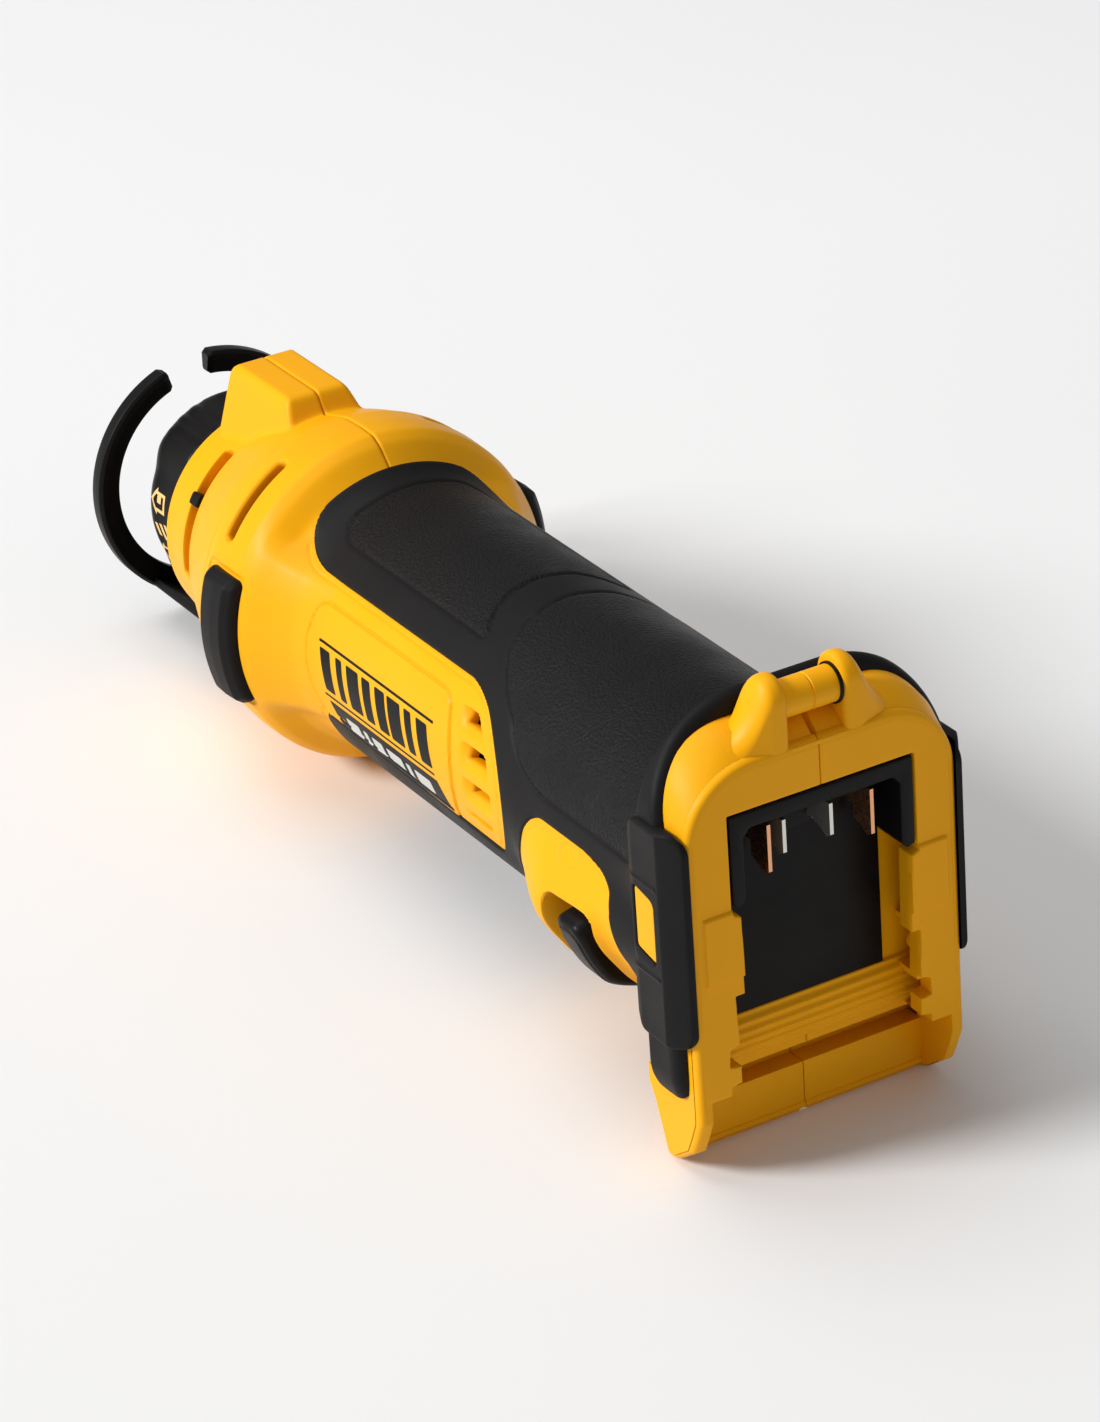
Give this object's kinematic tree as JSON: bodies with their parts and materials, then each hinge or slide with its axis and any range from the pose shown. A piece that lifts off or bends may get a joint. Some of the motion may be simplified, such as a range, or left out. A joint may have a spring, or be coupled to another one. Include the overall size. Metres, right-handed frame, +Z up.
{
  "type": "cordless drywall cut-out tool",
  "caption": "Cordless rotary cut-out tool with rubber grip, battery plate, motor head with work light, twist collar and open depth foot, lying on its battery plate and head.",
  "frame": {"origin": "bottom centre of the bounding box, with the tool lying at rest on its battery foot and the rim of its head", "axes": "+Y along the barrel from the battery plate towards the depth foot (the spindle axis dips 4.5 degrees below +Y), +X to the right seen from behind, +Z up"},
  "size_m": [0.1024, 0.3262, 0.1277],
  "materials": {
    "housing": "satin moulded yellow nylon",
    "rubber": "matte overmould",
    "black": "fine grained black nylon",
    "steel": "ground",
    "dark_steel": "blackened",
    "alloy": "cast",
    "copper": "bare copper",
    "silver": "plated",
    "brass": "satin",
    "carbon": "carbon",
    "magnet": "ferrite",
    "board": "solder mask",
    "lens": "clear",
    "winding": "enamelled wire",
    "fan": "glass filled nylon"
  },
  "bodies": {
    "tool": {"left_housing": "housing", "right_housing": "housing", "hang_bar": "housing", "grip_sleeve": "rubber", "rear_bumper_left": "rubber", "rear_bumper_right": "rubber", "head_bumper_left": "rubber", "head_bumper_right": "rubber", "terminal_block": "black", "board_capacitor": "black", "switch_body": "black", "brush_plate": "black", "motor_lead_left": "black", "motor_lead_right": "black", "rear_bearing_holder": "black", "fan_baffle": "black", "rear_bearing": "steel", "front_bearing": "steel", "brush_spring_left": "steel", "brush_spring_right": "steel", "motor_can": "dark_steel", "housing_screw_1": "dark_steel", "housing_screw_2": "dark_steel", "housing_screw_3": "dark_steel", "housing_screw_4": "dark_steel", "housing_screw_5": "dark_steel", "housing_screw_6": "dark_steel", "housing_screw_7": "dark_steel", "motor_switch_heatsink": "alloy", "nose_housing": "alloy", "terminal_blade_1": "copper", "terminal_blade_4": "copper", "terminal_blade_2": "silver", "terminal_blade_3": "silver", "brush_holder_left": "brass", "brush_holder_right": "brass", "depth_lock_pad": "brass", "brush_left": "carbon", "brush_right": "carbon", "magnet_left": "magnet", "magnet_right": "magnet", "control_board": "board", "light_board": "board", "light_lens": "lens"},
    "rotor": {"spindle": "steel", "armature_core": "steel", "winding_front": "winding", "winding_rear": "winding", "commutator": "copper", "cooling_fan": "fan", "collet": "steel", "collet_cap": "dark_steel"},
    "switch": {"switch_slider": "black", "switch_contact_bar": "copper"},
    "collar": {"locking_collar": "black"},
    "bit_release": {"release_sleeve": "dark_steel", "release_pin_left": "steel", "release_pin_right": "steel"},
    "foot": {"depth_foot": "black"},
    "foot_lock": {"depth_lock_knob": "black"}
  },
  "joints": [
    {"name": "spindle_spin", "type": "hinge", "parent": "tool", "child": "rotor", "pos_m": [0, 0.03959, 0.04931], "axis": [0, 0.9969, -0.0787], "continuous": true},
    {"name": "switch_slide", "type": "slide", "parent": "tool", "child": "switch", "axis": [0, 0.9969, -0.0787], "range_m": [0, 0.006]},
    {"name": "collar_twist", "type": "hinge", "parent": "tool", "child": "collar", "pos_m": [0, 0.12432, 0.04262], "axis": [0, 0.9969, -0.0787], "range_deg": [0, 23]},
    {"name": "bit_release_slide", "type": "slide", "parent": "tool", "child": "bit_release", "axis": [0, 0.9969, -0.0787], "range_m": [0, 0.0016]},
    {"name": "foot_slide", "type": "slide", "parent": "tool", "child": "foot", "axis": [0, 0.9969, -0.0787], "range_m": [-0.004, 0.012]},
    {"name": "lock_turn", "type": "hinge", "parent": "tool", "child": "foot_lock", "pos_m": [0.02075, 0.0866, 0.00955], "axis": [0.5, -0.0682, -0.8633], "range_deg": [0, 270]}
  ],
  "couplings": [
    {"joint": "bit_release_slide", "follows": "collar_twist", "m_per_rad": 0.003737}
  ]
}
